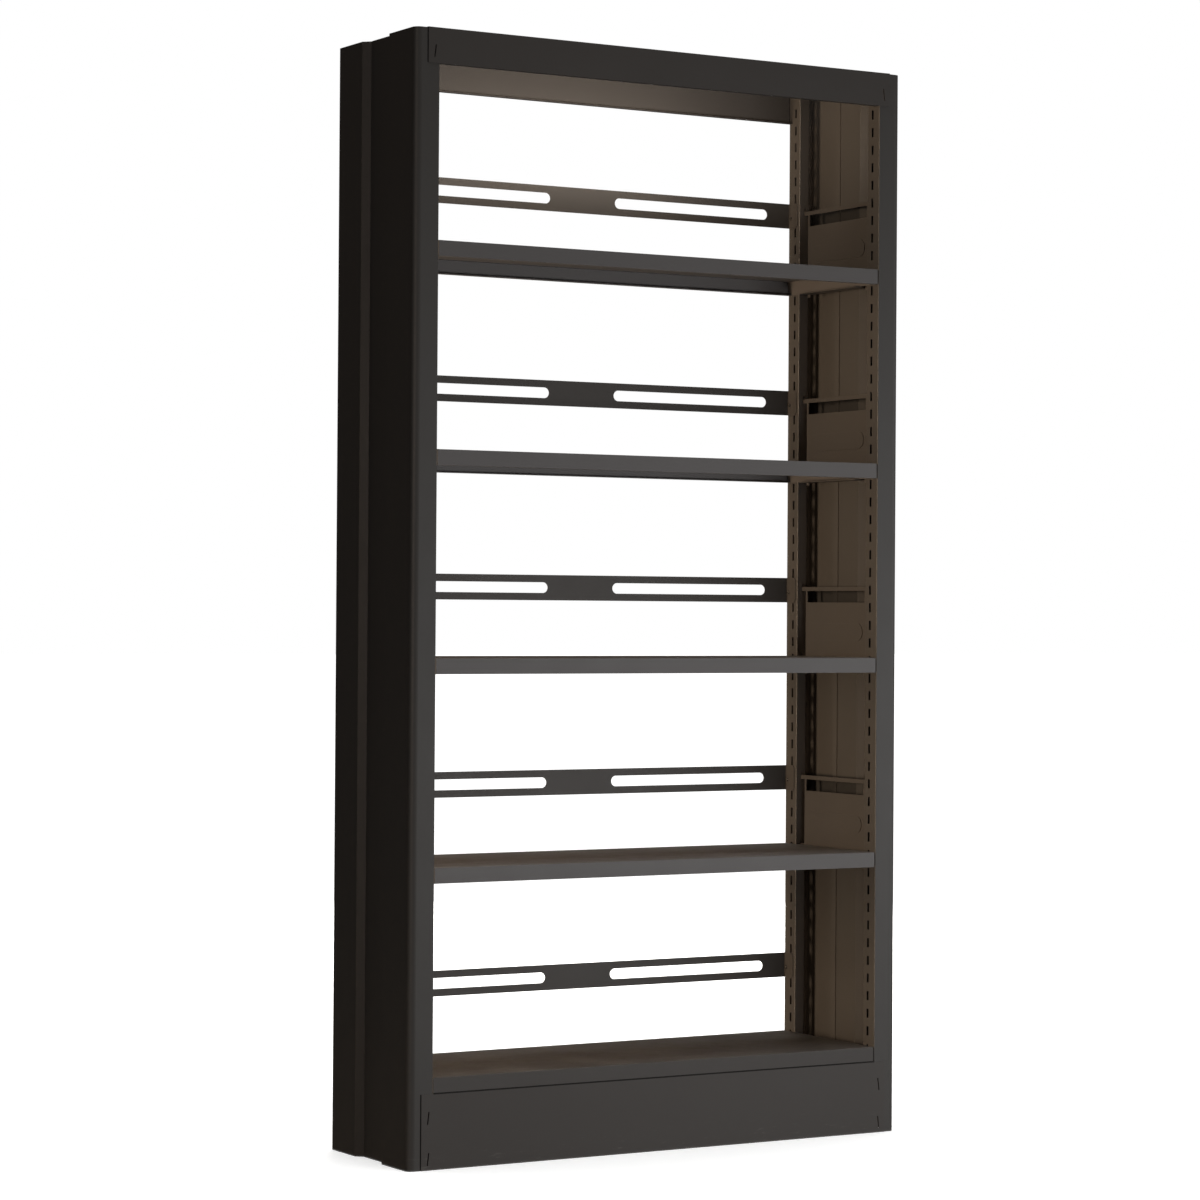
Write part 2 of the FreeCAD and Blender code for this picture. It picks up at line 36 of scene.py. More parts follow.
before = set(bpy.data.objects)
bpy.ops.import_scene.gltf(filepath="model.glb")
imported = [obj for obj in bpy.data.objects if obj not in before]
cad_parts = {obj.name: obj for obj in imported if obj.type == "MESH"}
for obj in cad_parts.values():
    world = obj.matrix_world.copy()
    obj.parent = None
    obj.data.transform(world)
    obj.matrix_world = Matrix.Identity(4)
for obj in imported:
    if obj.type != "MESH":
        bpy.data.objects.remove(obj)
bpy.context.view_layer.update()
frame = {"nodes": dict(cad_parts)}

COLUMNS = ["left_front_column", "left_rear_column", "right_front_column", "right_rear_column"]
SIDE_PANELS = ["left_side_panel", "right_side_panel"]
PLATES = ["top_cover", "front_kick_plate", "rear_kick_plate"]
HUNG_SHELVES = ["shelf_%d" % i for i in range(1, 5)]
BRACKETS = [side + "_bracket_%d" % i for side in ("left", "right") for i in range(1, 5)]
STOP_BARS = ["stop_bar_%d" % i for i in range(1, 6)]

# The thickness of the frame's sheet, and planes of the construction. Those across and in depth
# are the positive ones, and the same planes lie on the other side of the middle.
SHEET = 0.0012
SHELF_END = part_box("bottom_shelf")[1][0]
PLATE_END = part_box("top_cover")[1][0]
RETURN_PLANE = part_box("right_rear_column")[0][0]
PLATE_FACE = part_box("rear_kick_plate")[1][1]
COLUMN_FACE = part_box("left_rear_column")[1][1]
COVER_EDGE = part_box("top_cover")[0][2]
KICK_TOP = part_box("front_kick_plate")[1][2]


# Shader arithmetic

class Wire:
    """A socket of a material that can be reckoned with: each operator adds a Math node."""

    def __init__(self, paint, socket):
        self.paint = paint
        self.socket = socket

    def __add__(self, other):
        return self.paint.math("ADD", self, other)

    def __radd__(self, other):
        return self.paint.math("ADD", other, self)

    def __sub__(self, other):
        return self.paint.math("SUBTRACT", self, other)

    def __rsub__(self, other):
        return self.paint.math("SUBTRACT", other, self)

    def __mul__(self, other):
        return self.paint.math("MULTIPLY", self, other)

    def __rmul__(self, other):
        return self.paint.math("MULTIPLY", other, self)


# The usual fade of a mask's edge in metres, and how sharp edges are found and told from flats
FADE = 0.0003
EDGE_SAMPLES = 4
EDGE_TURN = (0.75, 0.98)


class Paint:
    """A material under construction."""

    def __init__(self, name):
        self.material = bpy.data.materials.new(name)
        self.material.use_nodes = True
        self.tree = self.material.node_tree
        self.tree.nodes.clear()

    def node(self, kind, settings=None, inputs=None):
        """Add a node: its settings first, then the values or wires of its sockets."""
        made = self.tree.nodes.new(kind)
        for name, value in (settings or {}).items():
            setattr(made, name, value)
        for key, value in (inputs or {}).items():
            if isinstance(value, Wire):
                self.tree.links.new(value.socket, made.inputs[key])
            else:
                made.inputs[key].default_value = value
        return made

    def wire(self, made, output=0):
        return Wire(self, made.outputs[output])

    def math(self, operation, first, second=0.0):
        return self.wire(self.node("ShaderNodeMath", {"operation": operation},
                                   {0: first, 1: second}))

    def vector(self, operation, first, second=(0.0, 0.0, 0.0)):
        return self.wire(self.node("ShaderNodeVectorMath", {"operation": operation},
                                   {0: first, 1: second}))

    def parts(self, vector):
        """X, Y and Z of a vector."""
        made = self.node("ShaderNodeSeparateXYZ", {}, {"Vector": vector})
        return [self.wire(made, axis) for axis in range(3)]

    def place(self):
        """Position on the object in metres."""
        return self.wire(self.node("ShaderNodeTexCoord"), "Object")

    def normal(self):
        """The way the surface faces."""
        return self.wire(self.node("ShaderNodeNewGeometry"), "Normal")

    def noise(self, vector, scale, detail, roughness):
        return self.wire(self.node("ShaderNodeTexNoise", {"noise_dimensions": "3D"},
                                   {"Vector": vector, "Scale": scale, "Detail": detail,
                                    "Roughness": roughness}))

    def between(self, value, low, high):
        """0 below low, 1 above high and a smooth rise between them."""
        return self.wire(self.node("ShaderNodeMapRange", {"interpolation_type": "SMOOTHSTEP"},
                                   {"Value": value, "From Min": low, "From Max": high}))

    def above(self, value, edge, fade=FADE):
        """0 up to the edge, and 1 from the fade above it."""
        return self.between(value, edge, edge + fade)

    def below(self, value, edge, fade=FADE):
        """0 from the edge on, and 1 from the fade below it."""
        return 1 - self.between(value, edge - fade, edge)

    def line(self, value, middle, half, fade=FADE):
        """1 within half of the middle, with a fade on both sides."""
        away = self.math("ABSOLUTE", value - middle)
        return 1 - self.above(away, half, fade)

    def blend(self, factor, first, second):
        """Mix two colours."""
        made = self.node("ShaderNodeMix", {"data_type": "RGBA"},
                         {"Factor": factor, "A": first, "B": second})
        return self.wire(made, "Result")

    def edges(self, radius):
        """1 along sharp edges, 0 on flat sheet: how far the rounded normal turns away."""
        rounded = self.wire(self.node("ShaderNodeBevel", {"samples": EDGE_SAMPLES},
                                      {"Radius": radius}))
        turned = self.node("ShaderNodeVectorMath", {"operation": "DOT_PRODUCT"},
                           {0: rounded, 1: self.normal()})
        return 1 - self.between(self.wire(turned, "Value"), *EDGE_TURN)

    def bump(self, height, distance, strength, normal=None):
        inputs = {"Height": height, "Distance": distance, "Strength": strength}
        if normal is not None:
            inputs["Normal"] = normal
        return self.wire(self.node("ShaderNodeBump", {}, inputs))

    def finish(self, inputs):
        """Close the material with one Principled shader."""
        shader = self.node("ShaderNodeBsdfPrincipled", {}, inputs)
        output = self.node("ShaderNodeOutputMaterial")
        self.tree.links.new(shader.outputs[0], output.inputs["Surface"])
        return self.material


def rgba(colour, factor=1.0):
    """A colour with its alpha, made lighter or darker."""
    return (colour[0] * factor, colour[1] * factor, colour[2] * factor, 1.0)


# Painted shade in the seams

# Each function marks with 1 where painted shade darkens its pieces, in seams, slits and hollows.
HAIR = 0.0001
END_FADE = 0.0005
SEAM_HALF = 0.0008
FOOT_HALF = 0.0010


def plate_joint_shade(paint, place):
    """Painted shade on the slits' walls, the ends of the plates and the kick plates' edge under
    the shelf.
    """
    across, depth, height = paint.parts(paint.vector("ABSOLUTE", place))
    outer = paint.above(across, SHELF_END, END_FADE)
    walls = outer * paint.below(depth, PLATE_FACE - HAIR)
    return walls + (1 - outer) * paint.line(height, KICK_TOP, SEAM_HALF)


# Width of the painted shadow line beside the plates' ends, and how much narrower it is at the
# right
LAP_LINE = 0.0021
LAP_LINE_LESS = 0.0014
LAP_FADE = 0.0006
FACE_FADE = 0.0004
MIDDLE_HALF = 0.01


def column_joint_shade(paint, place):
    """Painted shade on the column's face sheet under the ends of the cover and the kick plates,
    and a painted shadow line beside them, wider at the left, where the plates' ends turn from the
    light."""
    across, depth, height = paint.parts(paint.vector("ABSOLUTE", place))
    level = paint.above(height, COVER_EDGE - HAIR) + paint.below(height, KICK_TOP + HAIR)
    face = paint.above(depth, COLUMN_FACE - SHEET - FADE, FACE_FADE)
    # The painted shadow falls to the left, away from the key light at the right, so the line is
    # narrower at the right.
    right = paint.between(paint.parts(place)[0], -MIDDLE_HALF, MIDDLE_HALF)
    beyond = across - PLATE_END + right * LAP_LINE_LESS
    lap = level * face * paint.below(beyond, LAP_LINE, LAP_FADE)
    return paint.math("MAXIMUM", lap, shade_behind_slots(paint, place))


LONG_SLOT_DROP = 0.0167
LONG_SLOTS = [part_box("left_bracket_%d" % i)[1][2] - LONG_SLOT_DROP for i in range(1, 5)]
LONG_SLOT_HALF = 0.015
LONG_SLOT_FADE = 0.006
BEYOND_RETURN = 0.0133
WALL_START = RETURN_PLANE + BEYOND_RETURN
WALL_FADE = 0.002
FRONT_DEPTH = 0.095
FRONT_END = FRONT_DEPTH - COLUMN_FACE
FRONT_FADE = 0.010
ABOVE_COVER_EDGE = 0.014
BELOW_KICK_TOP = 0.008
HIDDEN_FADE = 0.004
FACING_EDGE = -0.5
FACING_FADE = 0.4


def shade_behind_slots(paint, place):
    """Painted shade on what is seen through the brackets' long slots and the front slits: the
    inner side of the side wall, at the long slots' levels and, in its front part, behind the
    flanges of the cover and the kick plate."""
    inwards = paint.vector("MULTIPLY", paint.vector("SIGN", place), paint.normal())
    inner = paint.below(paint.parts(inwards)[0], FACING_EDGE, FACING_FADE)
    across, _, height = paint.parts(paint.vector("ABSOLUTE", place))
    slots = sum(paint.line(height, level, LONG_SLOT_HALF, LONG_SLOT_FADE)
                for level in LONG_SLOTS)
    front = paint.below(paint.parts(place)[1], FRONT_END, FRONT_FADE)
    flanges = (paint.above(height, COVER_EDGE + ABOVE_COVER_EDGE, HIDDEN_FADE)
               + paint.below(height, KICK_TOP - BELOW_KICK_TOP, HIDDEN_FADE))
    seen = paint.math("MAXIMUM", slots, front * flanges)
    return inner * seen * paint.above(across, WALL_START, WALL_FADE)


def shelf_end_shade(paint, place):
    """Painted shade on the end flanges, deep between the shelf and the columns."""
    across = paint.parts(paint.vector("ABSOLUTE", place))[0]
    return paint.above(across, SHELF_END - HAIR - FADE)


def bottom_shelf_joint_shade(paint, place):
    """Painted shade on the ends, and a painted shadow line at the foot of the flanges, where they
    stand on the kick plates.
    """
    foot = paint.line(paint.parts(place)[2], KICK_TOP, FOOT_HALF)
    return paint.math("MAXIMUM", foot, shelf_end_shade(paint, place))


# Powder coat

# A noise has its marks per metre, detail and roughness, and the three fine ones, whose scale
# follows the grain, only the last two. A range says where marks start and where they are full.
NOISE_MIDDLE = 0.5
CLOUDS = (2.3, 3.0, 0.55)
PATCHES = (17.0, 3.0, 0.6)
SPECKLE = (1.0, 0.5)
PEEL = (2.0, 0.55)
WAVE = (1.0, 0.4)
SPECKLE_SIZE = 0.55
WAVE_SIZE = 9.0
WAVE_DEPTH = 3.0
WAVE_STRENGTH = 0.5
PEEL_STRENGTH = 0.6
SPECKLE_RANGE = (0.60, 0.80)
SPECKLE_SHARE = 0.22
SPECKLE_LIGHTER = 1.45
DUST_FACING_RANGE = (0.55, 0.95)
DUST_RANGE = (0.35, 0.75)
DUST_COLOUR = (0.30, 0.27, 0.235)
RUB_STRETCH = (38.0, 38.0, 240.0)
RUBS = (1.0, 3.0, 0.7)
RUB_RANGE = (0.60, 0.74)
RUB_HEIGHT = 0.055
RUB_FADE = 0.051
RUB_SHARE = 0.28
RUB_COLOUR = (0.12, 0.11, 0.10)
# The lighter line along sharp edges is partly edge wear and partly a painted highlight of bends
# and cut edges catching the light.
WEAR_HIGHLIGHT_RANGE = (0.40, 0.62)
WEAR_HIGHLIGHT_LEAST = 0.35
WEAR_HIGHLIGHT_LIGHTER = 3.0
# How strong and how dark the painted shade in the seams is
JOINT_SHADE_SHARE = 0.9
JOINT_SHADE_DARKER = 0.1
PATCH_ROUGHER = 0.10
CLOUD_ROUGHER = 0.06
DUST_ROUGHER = 0.08
RUB_ROUGHER = 0.1
WEAR_HIGHLIGHT_SMOOTHER = 0.10
JOINT_SHADE_ROUGHER = 0.5


def powder_coat(name, tone, coat, worn=0.0, joint_shade=None):
    """Baked powder coat on folded sheet: broad faint clouds in tone and gloss, a fine orange
    peel, pin-fine speckle, a trace of dust on what looks up, near the floor small rubbed
    marks whose share is worn, a lighter line along sharp edges that is partly edge wear and
    partly painted highlight, and painted shade in the seams that a function marks."""
    paint = Paint(name)
    place = paint.place()
    cloud = paint.noise(place, *CLOUDS)
    patch = paint.noise(place, *PATCHES)
    speckle = paint.noise(place, 1 / (coat.grain_size * SPECKLE_SIZE), *SPECKLE)
    peel = paint.noise(place, 1 / coat.grain_size, *PEEL)
    wave = paint.noise(place, 1 / (coat.grain_size * WAVE_SIZE), *WAVE)
    scratch = paint.noise(paint.vector("MULTIPLY", place, RUB_STRETCH), *RUBS)

    looks_up = paint.between(paint.parts(paint.normal())[2], *DUST_FACING_RANGE)
    dust = looks_up * paint.between(patch, *DUST_RANGE)
    near_floor = paint.below(paint.parts(place)[2], RUB_HEIGHT, RUB_FADE)
    rubbed = near_floor * paint.between(scratch, *RUB_RANGE) * worn
    # Lighter line along sharp edges: partly wear, partly painted highlight.
    uneven = WEAR_HIGHLIGHT_LEAST + paint.between(patch, *WEAR_HIGHLIGHT_RANGE) * (1 - WEAR_HIGHLIGHT_LEAST)
    wear_and_highlight = paint.edges(coat.edge_width) * uneven

    colour = paint.blend(cloud, rgba(tone, 1 - coat.tone_spread), rgba(tone, 1 + coat.tone_spread))
    for share, mark in (
            (paint.between(speckle, *SPECKLE_RANGE) * SPECKLE_SHARE, rgba(tone, SPECKLE_LIGHTER)),
            (dust * coat.dust, rgba(DUST_COLOUR)),
            (rubbed * RUB_SHARE, rgba(RUB_COLOUR)),
            (wear_and_highlight * coat.edge_wear_and_highlight, rgba(tone, WEAR_HIGHLIGHT_LIGHTER))):
        colour = paint.blend(share, colour, mark)
    gloss = coat.roughness + (patch - NOISE_MIDDLE) * PATCH_ROUGHER
    gloss = gloss + (cloud - NOISE_MIDDLE) * CLOUD_ROUGHER + dust * DUST_ROUGHER
    gloss = gloss + rubbed * RUB_ROUGHER - wear_and_highlight * WEAR_HIGHLIGHT_SMOOTHER
    # Painted shade in seams, slits and hollows, where a function marks it.
    if joint_shade:
        shade = joint_shade(paint, place)
        colour = paint.blend(shade * JOINT_SHADE_SHARE, colour, rgba(tone, JOINT_SHADE_DARKER))
        gloss = gloss + shade * JOINT_SHADE_ROUGHER
    normal = paint.bump(wave, coat.grain_depth * WAVE_DEPTH, WAVE_STRENGTH)
    normal = paint.bump(peel, coat.grain_depth, PEEL_STRENGTH, normal)
    return paint.finish({"Base Color": colour, "Roughness": gloss, "Normal": normal,
                         "Metallic": 0.0, "IOR": 1.5})


SCREW_MOTTLE = (900.0, 3.0, 0.6)
SCREW_DARKER = 0.8
SCREW_LIGHTER = 1.6
SCREW_ROUGHNESS = 0.32
MOTTLE_ROUGHER = 0.2
MOTTLE_DEPTH = 0.00003
MOTTLE_STRENGTH = 0.5


def screw_finish(tone):
    """Blackened steel with a fine mottle in tone, gloss and height."""
    paint = Paint("screw_black_finish")
    mottle = paint.noise(paint.place(), *SCREW_MOTTLE)
    colour = paint.blend(mottle, rgba(tone, SCREW_DARKER), rgba(tone, SCREW_LIGHTER))
    return paint.finish({"Base Color": colour, "Metallic": 0.6,
                         "Roughness": SCREW_ROUGHNESS + mottle * MOTTLE_ROUGHER,
                         "Normal": paint.bump(mottle, MOTTLE_DEPTH, MOTTLE_STRENGTH)})


def dress(names, material):
    """Give the material to CAD nodes through their slots."""
    for name in names:
        for slot in frame["nodes"][name].material_slots:
            slot.material = material


# Surfaces

def mesh_object(name, points, faces, material):
    """A smooth object at the origin from an array of points and a list of faces."""
    mesh = bpy.data.meshes.new(name)
    mesh.from_pydata(points.tolist(), [], faces)
    mesh.update()
    mesh.polygons.foreach_set("use_smooth", [True] * len(mesh.polygons))
    mesh.materials.append(material)
    made = bpy.data.objects.new(name, mesh)
    bpy.context.scene.collection.objects.link(made)
    return made


HEAD_RINGS = 9
HEAD_TURNS = 32
ARM_HALF_SHARE = 0.19
ARM_SIDE_SHARE = 0.10
ARM_TIP_SHARE = 0.62
ARM_END_SHARE = 0.12


def screw_head(seat, inward, radius, rise, recess):
    """Points, quads and triangles of a domed screw head with a cross recess.

    Ring i has the share u = i / rings of the radius. The dome's height is rise times
    (1 - u^4) to the power 0.5, and the recess takes off its depth where the nearer of the
    two cross arms is within its half width, faded at the arms' ends and sides. The heights
    run from the seat towards inward, and a flat disc closes the head at the seat."""
    share = np.arange(1, HEAD_RINGS + 1) / HEAD_RINGS
    angle = np.arange(HEAD_TURNS) * 2 * math.pi / HEAD_TURNS
    u, a = np.meshgrid(share, angle, indexing="ij")
    across, up = u * np.cos(a), u * np.sin(a)
    arm = np.minimum(np.abs(across), np.abs(up))
    reach = np.maximum(np.abs(across), np.abs(up))
    cut = (np.clip((ARM_HALF_SHARE - arm) / ARM_SIDE_SHARE, 0, 1)
           * np.clip((ARM_TIP_SHARE - reach) / ARM_END_SHARE, 0, 1))
    height = rise * np.sqrt(np.clip(1 - u ** 4, 0, 1)) - recess * cut
    rings = np.stack([seat[0] + inward * height, seat[1] + radius * across,
                      seat[2] + radius * up], axis=-1).reshape(-1, 3)
    top = [[seat[0] + inward * (rise - recess), seat[1], seat[2]]]
    points = np.vstack([rings, top, [seat]])

    corner = np.arange(HEAD_RINGS * HEAD_TURNS).reshape(HEAD_RINGS, HEAD_TURNS)
    after = np.roll(corner, -1, axis=1)
    quads = np.stack([corner[:-1], corner[1:], after[1:], after[:-1]], axis=-1).reshape(-1, 4)
    apex = np.full(HEAD_TURNS, corner.size)
    cap = np.stack([apex, corner[0], after[0]], axis=-1)
    back = np.stack([apex + 1, after[-1], corner[-1]], axis=-1)
    triangles = np.vstack([cap, back])
    if inward < 0:
        return points, quads[:, ::-1], triangles[:, ::-1]
    return points, quads, triangles


# Settings

class CoatSettings(bpy.types.PropertyGroup):
    frame_tone: FloatVectorProperty(
        name="Frame tone", description="Powder coat of the columns and side panels",
        subtype="COLOR", size=3, min=0, max=1, default=(0.0318, 0.0292, 0.0268))
    plate_tone: FloatVectorProperty(
        name="Plate tone", description="Powder coat of the cover, kick plates and bottom shelf",
        subtype="COLOR", size=3, min=0, max=1, default=(0.0322, 0.0284, 0.0257))
    shelf_tone: FloatVectorProperty(
        name="Shelf tone", description="Powder coat of the four hung shelves",
        subtype="COLOR", size=3, min=0, max=1, default=(0.0597, 0.0550, 0.0531))
    fitting_tone: FloatVectorProperty(
        name="Fitting tone", description="Powder coat of the brackets and stop bars",
        subtype="COLOR", size=3, min=0, max=1, default=(0.033, 0.0295, 0.0268))
    roughness: FloatProperty(
        name="Roughness", description="Mean roughness of the satin coat",
        subtype="FACTOR", min=0, max=1, default=0.46)
    tone_spread: FloatProperty(
        name="Tone spread", description="How far the clouds in the coat stray from its tone",
        subtype="FACTOR", min=0, max=1, default=0.07)
    grain_size: FloatProperty(
        name="Grain size", description="Size of the orange peel",
        subtype="DISTANCE", unit="LENGTH", min=0.0001, default=0.0013)
    grain_depth: FloatProperty(
        name="Grain depth", description="Depth of the orange peel",
        subtype="DISTANCE", unit="LENGTH", default=0.00004)
    # The burnished line along the edges is partly edge wear and partly a painted highlight.
    edge_width: FloatProperty(
        name="Edge width", description="Width of the burnished line along bent and cut edges",
        subtype="DISTANCE", unit="LENGTH", default=0.0009)
    edge_wear_and_highlight: FloatProperty(
        name="Edge wear", description="Strength of the burnished line along the edges",
        subtype="FACTOR", min=0, max=1, default=0.22)
    dust: FloatProperty(
        name="Dust", description="Share of dust on what looks up",
        subtype="FACTOR", min=0, max=1, default=0.06)


class ScrewSettings(bpy.types.PropertyGroup):
    head_radius: FloatProperty(
        name="Head radius", description="Radius of the stop bars' screw heads",
        subtype="DISTANCE", unit="LENGTH", default=0.0034)
    head_rise: FloatProperty(
        name="Head rise", description="Height of the domed head",
        subtype="DISTANCE", unit="LENGTH", default=0.0018)
    recess: FloatProperty(
        name="Recess", description="Depth of the cross recess",
        subtype="DISTANCE", unit="LENGTH", default=0.0011)
    setback: FloatProperty(
        name="Setback", description="Distance of the screws from the back of the bars",
        subtype="DISTANCE", unit="LENGTH", default=0.0068)
    drop: FloatProperty(
        name="Drop", description="Distance of the screws below the middle of the bars",
        subtype="DISTANCE", unit="LENGTH", default=0.004)
    tone: FloatVectorProperty(
        name="Screw tone", description="Dark finish of the screws",
        subtype="COLOR", size=3, min=0, max=1, default=(0.030, 0.028, 0.026))


class StudioSettings(bpy.types.PropertyGroup):
    floor_tone: FloatVectorProperty(
        name="Floor tone", description="Pale floor",
        subtype="COLOR", size=3, min=0, max=1, default=(0.90, 0.90, 0.895))
    floor_glow: FloatProperty(
        name="Floor glow", description="Even brightness of the floor, which fills its shadows",
        default=0.32, min=0)
    top_power: FloatProperty(
        name="Top light", description="Strength of the wide light straight above",
        default=3.5, min=0)
    key_power: FloatProperty(
        name="Key light", description="Watts of the large soft light at the right",
        unit="POWER", default=24.5, min=0)
    front_power: FloatProperty(
        name="Front light", description="Watts of the soft light in front",
        unit="POWER", default=85, min=0)
    sheen_power: FloatProperty(
        name="Sheen light", description="Watts of the panel that the front faces mirror",
        unit="POWER", default=14, min=0)
    strip_power: FloatProperty(
        name="Strip light", description="Watts of the narrow light that the left edges mirror",
        unit="POWER", default=22, min=0)
    back_power: FloatProperty(
        name="Back light", description="Watts of the warm soft light behind the open back",
        unit="POWER", default=0.6, min=0)
    cover_power: FloatProperty(
        name="Cover light", description="Watts of the warm light under the top cover",
        unit="POWER", default=1.5, min=0)
    rear_power: FloatProperty(
        name="Rear light", description="Watts of the soft light on the back",
        unit="POWER", default=220, min=0)
    side_power: FloatProperty(
        name="Side light", description="Watts of the warm light into the shelves from the left",
        unit="POWER", default=190, min=0)
    channel_power: FloatProperty(
        name="Channel light", description="Watts of the warm light into the right rear column",
        unit="POWER", default=40, min=0)
    mat_glow: FloatProperty(
        name="Mat glow", description="Light that the floor throws back at the object",
        default=0.012, min=0)
    sky: FloatProperty(
        name="Fill", description="Strength of the even light from all sides",
        default=0.048, min=0)
    lens: FloatProperty(
        name="Lens", description="Focal length of the camera on a 36 mm sensor",
        unit="CAMERA", default=106.347, min=1)


# Operators

class BOOKCASE_OT_coat_frame(bpy.types.Operator):
    """Coat the four columns and the two side panels"""
    bl_idname = "bookcase.coat_frame"
    bl_label = "Coat Columns and Side Panels"

    def execute(self, context):
        coat = context.scene.bookcase_coat
        dress(COLUMNS, powder_coat("column_powder_coat", coat.frame_tone, coat, worn=1.0,
                                   joint_shade=column_joint_shade))
        dress(SIDE_PANELS, powder_coat("side_panel_powder_coat", coat.frame_tone, coat, worn=0.6,
                                       joint_shade=shade_behind_slots))
        return {"FINISHED"}


class BOOKCASE_OT_coat_plates(bpy.types.Operator):
    """Coat the top cover and the two kick plates"""
    bl_idname = "bookcase.coat_plates"
    bl_label = "Coat Cover and Kick Plates"

    def execute(self, context):
        coat = context.scene.bookcase_coat
        dress(PLATES, powder_coat("plate_powder_coat", coat.plate_tone, coat, worn=1.0,
                                  joint_shade=plate_joint_shade))
        return {"FINISHED"}


class BOOKCASE_OT_coat_shelves(bpy.types.Operator):
    """Coat the five shelves"""
    bl_idname = "bookcase.coat_shelves"
    bl_label = "Coat Shelves"

    def execute(self, context):
        coat = context.scene.bookcase_coat
        dress(["bottom_shelf"], powder_coat("bottom_shelf_powder_coat", coat.plate_tone, coat,
                                            joint_shade=bottom_shelf_joint_shade))
        dress(HUNG_SHELVES, powder_coat("shelf_powder_coat", coat.shelf_tone, coat,
                                        joint_shade=shelf_end_shade))
        return {"FINISHED"}


class BOOKCASE_OT_coat_fittings(bpy.types.Operator):
    """Coat the side brackets and the stop bars"""
    bl_idname = "bookcase.coat_fittings"
    bl_label = "Coat Brackets and Stop Bars"

    def execute(self, context):
        coat = context.scene.bookcase_coat
        dress(BRACKETS, powder_coat("bracket_powder_coat", coat.fitting_tone, coat))
        dress(STOP_BARS, powder_coat("stop_bar_powder_coat", coat.fitting_tone, coat))
        return {"FINISHED"}


class BOOKCASE_OT_stop_bar_screws(bpy.types.Operator):
    """Set a domed cross-recess screw on both end flanges of each stop bar"""
    bl_idname = "bookcase.stop_bar_screws"
    bl_label = "Stop Bar Screws"

    def execute(self, context):
        screws = context.scene.bookcase_screws
        points, faces = [], []
        for name in STOP_BARS:
            low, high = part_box(name)
            level = (low[2] + high[2]) / 2 - screws.drop
            for side in (-1, 1):
                seat = (side * (RETURN_PLANE - SHEET), high[1] - screws.setback, level)
                start = sum(len(block) for block in points)
                head, quads, triangles = screw_head(
                    seat, -side, screws.head_radius, screws.head_rise, screws.recess)
                points.append(head)
                faces += (start + quads).tolist() + (start + triangles).tolist()
        made = mesh_object("stop_bar_screws", np.vstack(points), faces,
                           screw_finish(screws.tone))
        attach(made, "frame")
        return {"FINISHED"}


# Studio

# Each soft light has its place, its target, its width and height, and its colour.
DAYLIGHT = (0.97, 0.985, 1.0)
SOFT_LIGHTS = {
    "key": ((3.4, -1.8, 0.5), (0.3, 0.0, 0.5), (2.6, 2.4), DAYLIGHT),
    "front": ((0.6, -3.0, 0.3), (0.0, 0.0, 0.45), (1.4, 0.6), DAYLIGHT),
    "sheen": ((1.8, -3.1, 0.5), (0.0, 0.0, 0.5), (1.8, 1.1), DAYLIGHT),
    "strip": ((-4.2, -2.5, 0.9), (0.0, 0.0, 0.9), (0.5, 2.6), (1.0, 0.82, 0.69)),
    "back": ((-0.22, 0.80, 0.95), (0.45, 0.0, 0.95), (0.40, 2.1), (1.0, 0.84, 0.66)),
    "cover": ((-0.02, -0.095, 1.69), (-0.02, 0.13, 1.75), (0.66, 0.04), (1.0, 0.84, 0.68)),
    "rear": ((2.3, 4.2, 1.3), (0.0, 0.0, 0.9), (2.0, 1.8), (1.0, 0.97, 0.94)),
    "side": ((-2.6, 0.10, 0.9), (0.4, 0.08, 0.9), (0.5, 2.0), (1.0, 0.75, 0.52)),
    "channel": ((-1.6, -2.9, 0.95), (0.44, 0.12, 0.95), (0.5, 2.2), (1.0, 0.70, 0.47)),
}
UNMIRRORED = ("front", "rear", "channel")
ONLY_MIRRORED = ("sheen", "strip")
TOP_PLACE = (0.0, 0.0, 5.0)
TOP_ANGLE = 50
FILL_COLOUR = (1.0, 0.74, 0.57)
MAT_COLOUR = (0.004, 0.004, 0.004)
MAT_GLOW_COLOUR = (1.0, 0.74, 0.55)
MAT_LEVEL = 0.002
FLOOR_MOTTLE = (1.3, 3.0, 0.5)
FLOOR_DARKER = 0.985
FLOOR_REACH = 60.0
FLOOR_STEPS = 8
WHITE = (1.0, 1.0, 1.0)

# The camera's place in metres, its yaw, pitch and roll in degrees, and its shift
CAMERA_PLACE = (-3.0224, -5.0908, 0.8781)
CAMERA_TURN = (31.193, 0.495, 0.365)
CAMERA_SHIFT = (-0.0435, -0.0144)
SENSOR_WIDTH = 36.0
CLIP_END = 100.0


